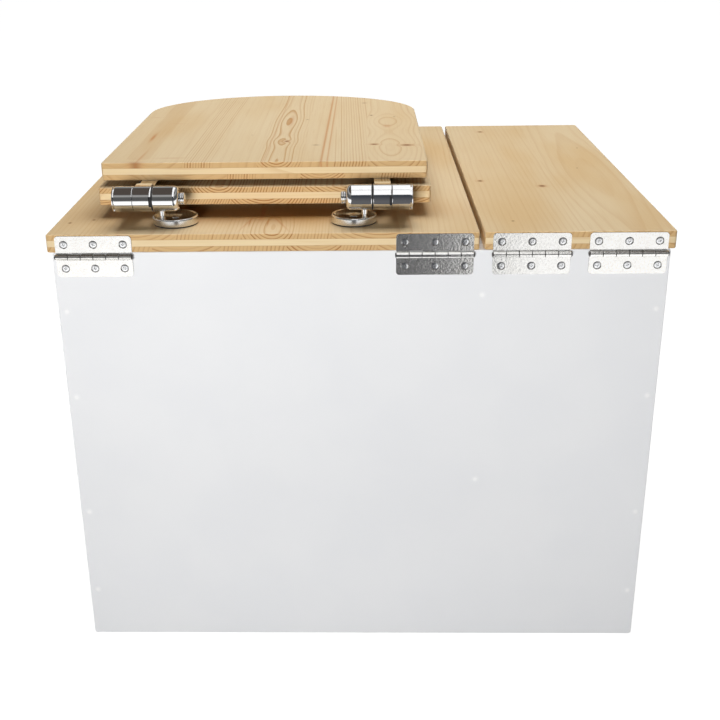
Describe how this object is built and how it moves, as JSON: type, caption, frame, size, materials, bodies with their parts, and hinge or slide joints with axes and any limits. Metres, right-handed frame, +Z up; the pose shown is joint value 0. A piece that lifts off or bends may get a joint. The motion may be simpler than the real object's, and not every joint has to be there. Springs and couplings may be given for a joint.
{
  "type": "composting toilet",
  "caption": "Painted cabinet toilet with a wooden seat and lid on a hinged board over a bucket, and a litter compartment with its own hinged lid.",
  "frame": {"origin": "middle of the cabinet's footprint, on the floor", "axes": "+Z up, the front faces -Y, the hinges are at +Y, and +X is to the right of somebody who stands in front of it"},
  "size_m": [0.6505, 0.5939, 0.5523],
  "materials": {
    "white_paint": "white satin paint on panels, with a faint roller texture",
    "spruce": "oiled three-ply spruce",
    "nickel": "nickel-plated steel, slightly tumbled",
    "chrome": "polished chrome",
    "zinc": "bright zinc-plated steel",
    "black_plastic": "black moulded plastic",
    "rubber": "soft dark rubber",
    "bucket_plastic": "dark grey moulded polypropylene"
  },
  "bodies": {
    "cabinet": {"rear_panel": "white_paint", "front_panel": "white_paint", "right_side_panel": "white_paint", "left_side_panel": "white_paint", "partition": "white_paint", "base_panel": "white_paint", "panel_screws": "zinc", "screw_filler": "white_paint", "hinge_1_lower_leaf": "nickel", "hinge_2_lower_leaf": "nickel", "hinge_3_lower_leaf": "nickel", "hinge_4_lower_leaf": "nickel", "hinge_1_pin": "nickel", "hinge_2_pin": "nickel", "hinge_3_pin": "nickel", "hinge_4_pin": "nickel", "lower_leaf_screws": "zinc"},
    "seat_board": {"seat_board": "spruce", "hinge_1_upper_leaf": "nickel", "hinge_2_upper_leaf": "nickel", "seat_board_hinge_screws": "zinc", "right_base_disc": "chrome", "right_disc_gasket": "rubber", "right_post": "chrome", "right_fixed_barrel": "chrome", "right_axle": "chrome", "right_damper": "black_plastic", "right_stud": "zinc", "right_clamp_nut": "zinc", "left_base_disc": "chrome", "left_disc_gasket": "rubber", "left_post": "chrome", "left_fixed_barrel": "chrome", "left_axle": "chrome", "left_damper": "black_plastic", "left_stud": "zinc", "left_clamp_nut": "zinc"},
    "seat": {"toilet_seat": "spruce", "right_seat_arm": "chrome", "left_seat_arm": "chrome", "seat_arm_screws": "zinc", "seat_buffers": "rubber"},
    "lid": {"seat_lid": "spruce", "right_lid_arm": "chrome", "left_lid_arm": "chrome", "lid_arm_screws": "zinc", "lid_buffers": "rubber"},
    "litter_lid": {"litter_lid": "spruce", "hinge_3_upper_leaf": "nickel", "hinge_4_upper_leaf": "nickel", "litter_lid_hinge_screws": "zinc"},
    "bucket": {"bucket": "bucket_plastic"},
    "bail": {"bail_handle": "zinc", "bail_grip": "black_plastic"}
  },
  "joints": [
    {"name": "seat_board_hinge", "type": "hinge", "parent": "cabinet", "child": "seat_board", "pos_m": [0.10075, 0.2911, 0.471], "axis": [-1, 0, 0], "range_deg": [0, 90]},
    {"name": "litter_lid_hinge", "type": "hinge", "parent": "cabinet", "child": "litter_lid", "pos_m": [-0.227, 0.2911, 0.471], "axis": [-1, 0, 0], "range_deg": [0, 100]},
    {"name": "seat_hinge", "type": "hinge", "parent": "seat_board", "child": "seat", "pos_m": [0.10075, 0.257, 0.524], "axis": [-1, 0, 0], "range_deg": [0, 90]},
    {"name": "lid_hinge", "type": "hinge", "parent": "seat", "child": "lid", "pos_m": [0.10075, 0.257, 0.524], "axis": [-1, 0, 0], "range_deg": [0, 90]},
    {"name": "bucket_lift", "type": "slide", "parent": "cabinet", "child": "bucket", "axis": [0, 0, 1], "range_m": [0, 0.015]},
    {"name": "bail_swing", "type": "hinge", "parent": "bucket", "child": "bail", "pos_m": [0.10255, -0.0145, 0.421], "axis": [-1, 0, 0], "range_deg": [0, 31]}
  ]
}
